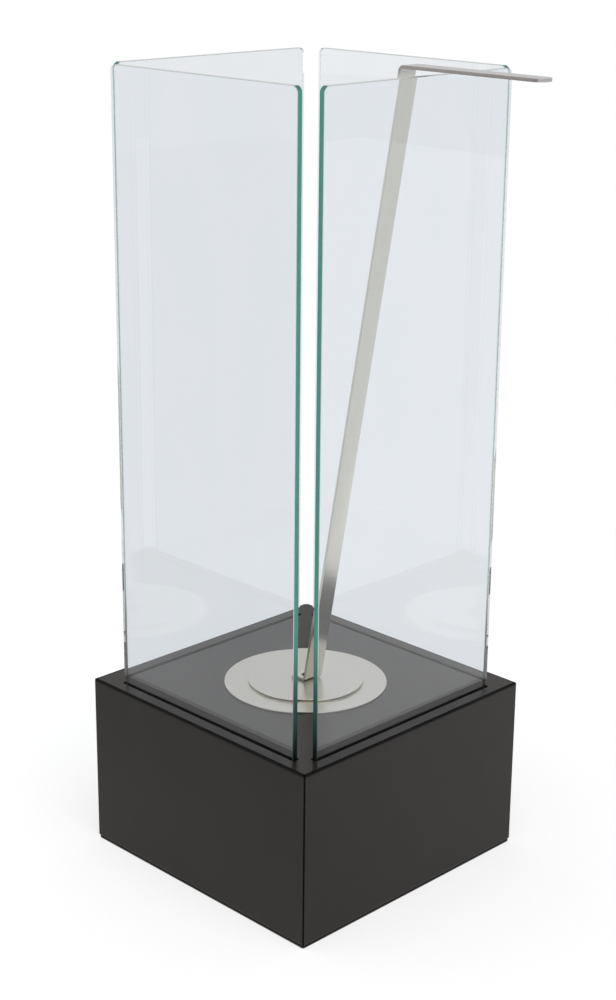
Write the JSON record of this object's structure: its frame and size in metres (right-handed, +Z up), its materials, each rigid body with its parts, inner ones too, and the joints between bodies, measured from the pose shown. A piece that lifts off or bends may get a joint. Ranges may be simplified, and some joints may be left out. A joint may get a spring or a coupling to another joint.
{
  "type": "bioethanol fireplace",
  "caption": "Square steel base with glass panes standing in slots round a round ethanol burner, its lid, and a long flat snuffer tool hooked on the lid.",
  "frame": {"origin": "middle of the flat underside of the base, on the floor", "axes": "+Z up; +X out of the base side that the tool handle points over (front_right); -Y out of the front_left side; the corner between them faces the viewer"},
  "size_m": [0.4215, 0.3, 0.792],
  "materials": {
    "black_coat": "satin black powder coat, slightly warm, fine orange-peel texture",
    "zinc_steel": "dull zinc-plated steel, hidden inside the base",
    "clear_glass": "clear float glass, green at its ground edges",
    "silicone": "matt black silicone",
    "stainless": "brushed stainless steel",
    "ceramic_wool": "off-white ceramic fibre",
    "screw_steel": "black-oxide screw steel"
  },
  "bodies": {
    "base": {"side_panel_front_left": "black_coat", "side_panel_front_right": "black_coat", "side_panel_back_right": "black_coat", "side_panel_back_left": "black_coat", "top_plate": "black_coat", "bottom_plate": "black_coat", "bottom_screw_1": "screw_steel", "bottom_screw_2": "screw_steel", "bottom_screw_3": "screw_steel", "bottom_screw_4": "screw_steel", "bottom_screw_5": "screw_steel", "bottom_screw_6": "screw_steel", "bottom_screw_7": "screw_steel", "bottom_screw_8": "screw_steel", "corner_post_front": "zinc_steel", "corner_post_right": "zinc_steel", "corner_post_back": "zinc_steel", "corner_post_left": "zinc_steel", "post_nut_front": "screw_steel", "post_nut_right": "screw_steel", "post_nut_back": "screw_steel", "post_nut_left": "screw_steel", "glass_channel_front_left": "zinc_steel", "glass_channel_front_right": "zinc_steel", "glass_channel_back_right": "zinc_steel", "glass_channel_back_left": "zinc_steel", "glass_cushion_front_left": "silicone", "glass_cushion_front_right": "silicone", "glass_cushion_back_right": "silicone", "glass_cushion_back_left": "silicone"},
    "pane_front_left": {"glass_pane_front_left": "clear_glass"},
    "pane_front_right": {"glass_pane_front_right": "clear_glass"},
    "pane_back_right": {"glass_pane_back_right": "clear_glass"},
    "pane_back_left": {"glass_pane_back_left": "clear_glass"},
    "burner": {"burner_flange": "stainless", "burner_can": "stainless", "burner_wool": "ceramic_wool", "burner_screen": "stainless"},
    "lid": {"lid_disc": "stainless", "lid_skirt": "stainless", "lid_stud": "stainless"},
    "tool": {"snuffer_tool": "stainless"}
  },
  "joints": [
    {"name": "burner_lift", "type": "slide", "parent": "base", "child": "burner", "axis": [0, 0, 1], "range_m": [0, 0.7]},
    {"name": "lid_lift", "type": "slide", "parent": "burner", "child": "lid", "axis": [0, 0, 1], "range_m": [0, 0.62]},
    {"name": "tool_unhook", "type": "slide", "parent": "lid", "child": "tool", "axis": [1, 0, 0], "range_m": [0, 0.01]},
    {"name": "pane_front_left_lift", "type": "slide", "parent": "base", "child": "pane_front_left", "axis": [0, 0, 1], "range_m": [0, 0.03]},
    {"name": "pane_front_right_lift", "type": "slide", "parent": "base", "child": "pane_front_right", "axis": [0, 0, 1], "range_m": [0, 0.005]},
    {"name": "pane_back_right_lift", "type": "slide", "parent": "base", "child": "pane_back_right", "axis": [0, 0, 1], "range_m": [0, 0.03]},
    {"name": "pane_back_left_lift", "type": "slide", "parent": "base", "child": "pane_back_left", "axis": [0, 0, 1], "range_m": [0, 0.03]}
  ]
}
